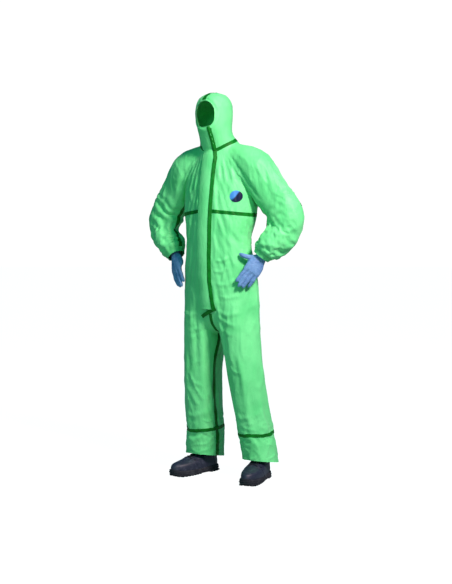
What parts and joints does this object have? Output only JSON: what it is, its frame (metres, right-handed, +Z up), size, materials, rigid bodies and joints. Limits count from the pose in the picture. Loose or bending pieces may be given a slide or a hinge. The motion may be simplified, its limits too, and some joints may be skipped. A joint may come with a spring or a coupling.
{
  "type": "hooded chemical protective coverall",
  "caption": "Hooded one-piece protective coverall with taped seams, covered zip, elastic cuffs, and its gloves and safety shoes, in worn shape.",
  "frame": {"origin": "on the floor between the wearer's feet, under the middle of the trunk: the point where the wearer who carries the suit stands", "axes": "+Z up along the wearer's height, the wearer faces -Y, and the wearer's left is +X"},
  "size_m": [0.8638, 0.3451, 1.816],
  "materials": {
    "green_cloth": "soft matt non-woven laminate",
    "green_elastic": "gathered cloth over elastic",
    "seam_tape": "smooth satin film",
    "zip_green": "moulded coil",
    "glove_nitrile": "thin satin nitrile",
    "shoe_leather": "coated smooth leather",
    "sole_rubber": "matt moulded rubber",
    "lace_cord": "woven cord",
    "badge_blue": "printed film"
  },
  "bodies": {
    "trunk": {"upper_body_left": "green_cloth", "upper_body_right": "green_cloth", "lower_body_left": "green_cloth", "lower_body_right": "green_cloth", "chest_seam_tape_left": "seam_tape", "chest_seam_tape_right": "seam_tape", "neck_seam_tape": "seam_tape", "flap_seam_tape": "seam_tape", "flap_end_tape": "seam_tape", "waist_elastic": "green_elastic", "chest_badge": "badge_blue", "zip_chain": "zip_green", "zip_tape_left": "green_elastic", "zip_tape_right": "green_elastic", "neck_cloth": "green_cloth", "shoulder_cloth_left": "green_cloth", "shoulder_cloth_right": "green_cloth", "hip_cloth_left": "green_cloth", "hip_cloth_right": "green_cloth"},
    "hood": {"hood_left": "green_cloth", "hood_right": "green_cloth", "hood_seam_tape": "seam_tape", "face_elastic": "green_elastic", "chin_flap": "green_cloth", "chin_flap_tape": "seam_tape"},
    "slider": {"zip_slider": "zip_green"},
    "pull": {"zip_pull": "zip_green"},
    "flap": {"storm_flap": "green_cloth"},
    "upper_sleeve_left": {"sleeve_upper_left": "green_cloth", "elbow_cloth_left": "green_cloth"},
    "lower_sleeve_left": {"sleeve_lower_left": "green_cloth", "sleeve_seam_tape_left": "seam_tape", "cuff_elastic_left": "green_elastic"},
    "hand_left": {"glove_left": "glove_nitrile"},
    "thigh_left": {"leg_upper_left": "green_cloth", "knee_cloth_left": "green_cloth"},
    "shin_left": {"leg_lower_left": "green_cloth", "inseam_tape_left": "seam_tape", "shin_seam_tape_left": "seam_tape", "leg_hem_left": "green_cloth"},
    "foot_left": {"shoe_sole_left": "sole_rubber", "shoe_upper_left": "shoe_leather", "shoe_lace_left": "lace_cord"},
    "upper_sleeve_right": {"sleeve_upper_right": "green_cloth", "elbow_cloth_right": "green_cloth"},
    "lower_sleeve_right": {"sleeve_lower_right": "green_cloth", "sleeve_seam_tape_right": "seam_tape", "cuff_elastic_right": "green_elastic"},
    "hand_right": {"glove_right": "glove_nitrile"},
    "thigh_right": {"leg_upper_right": "green_cloth", "knee_cloth_right": "green_cloth"},
    "shin_right": {"leg_lower_right": "green_cloth", "inseam_tape_right": "seam_tape", "shin_seam_tape_right": "seam_tape", "leg_hem_right": "green_cloth"},
    "foot_right": {"shoe_sole_right": "sole_rubber", "shoe_upper_right": "shoe_leather", "shoe_lace_right": "lace_cord"}
  },
  "joints": [
    {"name": "hood_turn", "type": "hinge", "parent": "trunk", "child": "hood", "pos_m": [-0.004, -0.038, 1.6], "axis": [0, 0, 1], "range_deg": [-30, 30], "deforming": ["neck_cloth"]},
    {"name": "shoulder_left", "type": "hinge", "parent": "trunk", "child": "upper_sleeve_left", "pos_m": [0.19, 0.01, 1.466], "axis": [-0.9725, 0, -0.2331], "range_deg": [0, 40], "deforming": ["shoulder_cloth_left"]},
    {"name": "elbow_left", "type": "hinge", "parent": "upper_sleeve_left", "child": "lower_sleeve_left", "pos_m": [0.38, 0.03, 1.25], "axis": [-0.2357, 0.9646, -0.118], "range_deg": [-45, 0], "deforming": ["elbow_cloth_left"]},
    {"name": "wrist_left", "type": "hinge", "parent": "lower_sleeve_left", "child": "hand_left", "pos_m": [0.244, -0.026, 1.064], "axis": [0.5671, 0.5918, -0.5728], "range_deg": [-19, 0]},
    {"name": "hip_left", "type": "hinge", "parent": "trunk", "child": "thigh_left", "pos_m": [0.097, 0.008, 0.8], "axis": [-1, 0, 0], "range_deg": [-12, 25], "deforming": ["hip_cloth_left"]},
    {"name": "knee_left", "type": "hinge", "parent": "thigh_left", "child": "shin_left", "pos_m": [0.127, 0.026, 0.5], "axis": [1, 0, 0], "range_deg": [-6, 48], "deforming": ["knee_cloth_left"]},
    {"name": "ankle_left", "type": "hinge", "parent": "shin_left", "child": "foot_left", "pos_m": [0.16, 0.1, 0.095], "axis": [-0.9781, -0.2079, 0], "range_deg": [-20, 6]},
    {"name": "shoulder_right", "type": "hinge", "parent": "trunk", "child": "upper_sleeve_right", "pos_m": [-0.19, 0.01, 1.466], "axis": [-0.9725, 0, 0.2331], "range_deg": [0, 40], "deforming": ["shoulder_cloth_right"]},
    {"name": "elbow_right", "type": "hinge", "parent": "upper_sleeve_right", "child": "lower_sleeve_right", "pos_m": [-0.38, 0.03, 1.25], "axis": [-0.2357, -0.9646, 0.118], "range_deg": [-45, 0], "deforming": ["elbow_cloth_right"]},
    {"name": "wrist_right", "type": "hinge", "parent": "lower_sleeve_right", "child": "hand_right", "pos_m": [-0.244, -0.026, 1.064], "axis": [0.7831, -0.3413, 0.5199], "range_deg": [-19, 0]},
    {"name": "hip_right", "type": "hinge", "parent": "trunk", "child": "thigh_right", "pos_m": [-0.097, 0.008, 0.8], "axis": [-1, 0, 0], "range_deg": [-12, 25], "deforming": ["hip_cloth_right"]},
    {"name": "knee_right", "type": "hinge", "parent": "thigh_right", "child": "shin_right", "pos_m": [-0.127, 0.026, 0.5], "axis": [1, 0, 0], "range_deg": [-6, 48], "deforming": ["knee_cloth_right"]},
    {"name": "ankle_right", "type": "hinge", "parent": "shin_right", "child": "foot_right", "pos_m": [-0.16, 0.1, 0.095], "axis": [-0.9781, 0.2079, 0], "range_deg": [-20, 6]},
    {"name": "zip_run", "type": "hinge", "parent": "trunk", "child": "slider", "pos_m": [-0.008, 1.607, 1.125], "axis": [1, 0, 0], "range_deg": [0, 21]},
    {"name": "pull_swing", "type": "hinge", "parent": "slider", "child": "pull", "pos_m": [-0.008, -0.1084, 1.506], "axis": [-1, 0, 0], "range_deg": [0, 70]},
    {"name": "flap_peel", "type": "hinge", "parent": "trunk", "child": "flap", "pos_m": [0.019, -0.145, 1.18], "axis": [0, 0, 1], "range_deg": [0, 80], "deforming": ["storm_flap"]}
  ]
}
